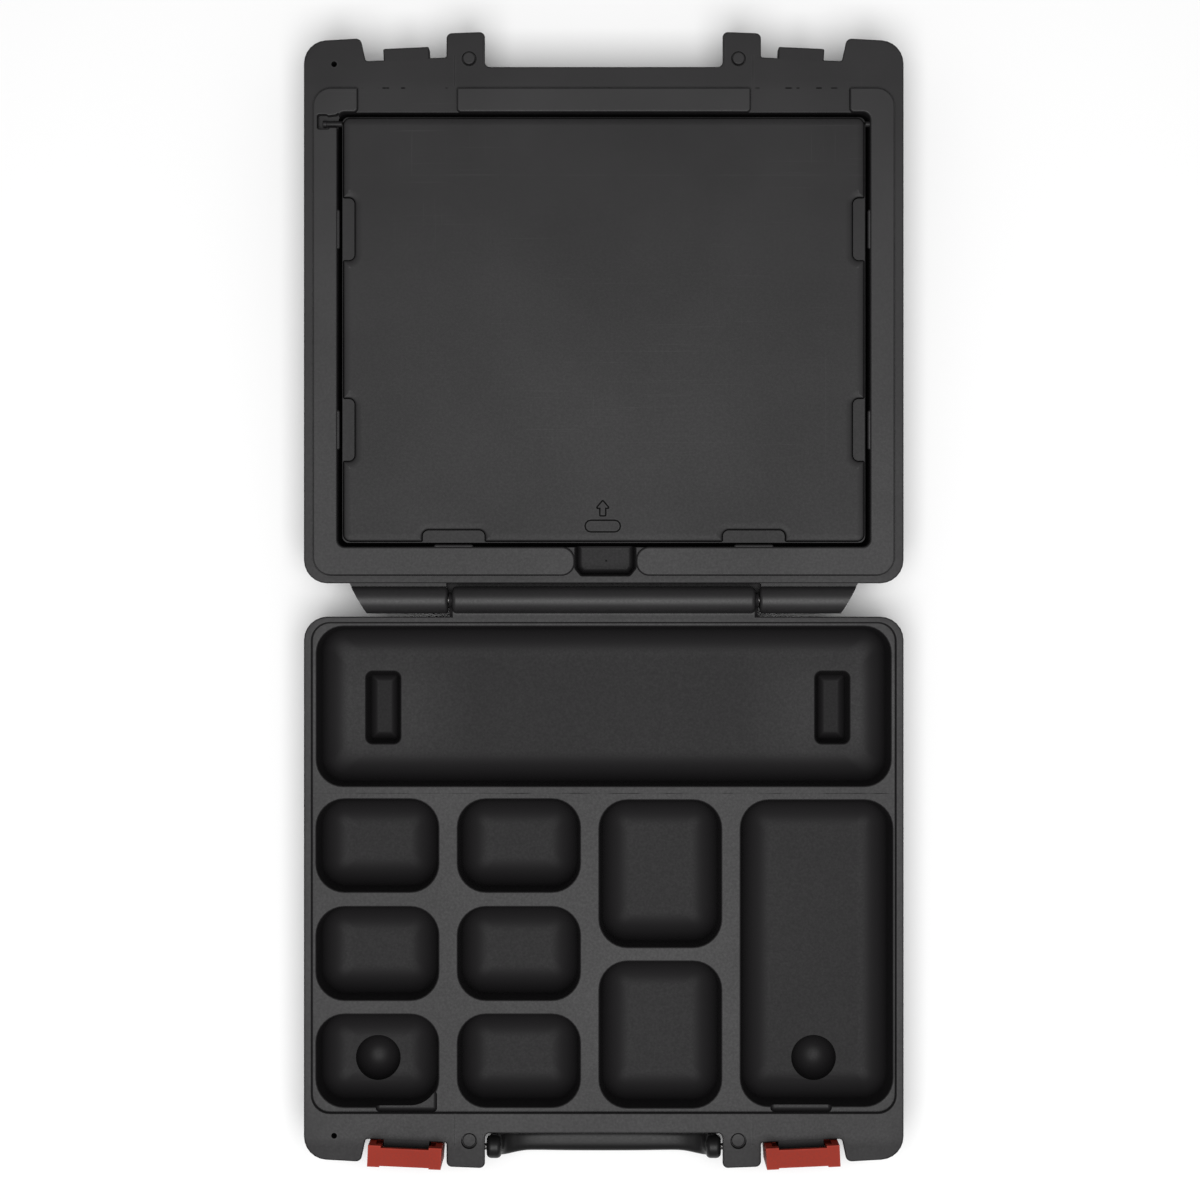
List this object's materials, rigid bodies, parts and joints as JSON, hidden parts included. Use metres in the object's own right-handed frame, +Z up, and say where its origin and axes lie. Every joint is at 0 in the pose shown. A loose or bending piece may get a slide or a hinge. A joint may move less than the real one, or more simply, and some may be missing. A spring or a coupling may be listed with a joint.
{
  "type": "tool storage case",
  "caption": "Flat blow-moulded plastic tool case, opened out: base with tray and pockets, lid with a covered compartment, snap latches and a folding carry handle.",
  "frame": {"origin": "centre of the open case's footprint, on the surface it lies on, below the hinge axis", "axes": "+X along the hinge, +Y from the hinge to the lid's front edge, +Z up"},
  "size_m": [0.36, 0.682, 0.067],
  "materials": {
    "case_black": "fine moulded grain, satin black",
    "cover_black": "fine moulded grain with light scratches",
    "handle_black": "smooth satin black",
    "latch_red": "satin red",
    "pin_steel": "drawn wire"
  },
  "bodies": {
    "base": {"base_shell": "case_black", "latch_pin_left": "pin_steel", "latch_pin_right": "pin_steel", "handle_pin_left": "pin_steel", "handle_pin_right": "pin_steel", "hinge_pin_left": "pin_steel", "hinge_pin_right": "pin_steel"},
    "lid": {"lid_shell": "case_black"},
    "cover": {"compartment_cover": "cover_black"},
    "latch_left": {"latch_left": "latch_red"},
    "latch_right": {"latch_right": "latch_red"},
    "handle": {"carry_handle": "handle_black"}
  },
  "joints": [
    {"name": "lid_hinge", "type": "hinge", "parent": "base", "child": "lid", "pos_m": [0, 0, 0.052], "axis": [-1, 0, 0], "range_deg": [-180, 0]},
    {"name": "cover_hinge", "type": "hinge", "parent": "lid", "child": "cover", "pos_m": [0, 0.2856, 0.051], "axis": [-1, 0, 0], "range_deg": [0, 110]},
    {"name": "latch_left_hinge", "type": "hinge", "parent": "base", "child": "latch_left", "pos_m": [-0.1186, -0.33, 0.032], "axis": [0.9989, -0.0462, 0], "range_deg": [0, 100]},
    {"name": "latch_right_hinge", "type": "hinge", "parent": "base", "child": "latch_right", "pos_m": [0.1186, -0.33, 0.032], "axis": [0.9989, 0.0462, 0], "range_deg": [0, 100]},
    {"name": "handle_pivot", "type": "hinge", "parent": "base", "child": "handle", "pos_m": [0, -0.3298, 0.042], "axis": [-1, 0, 0], "range_deg": [0, 170]}
  ]
}
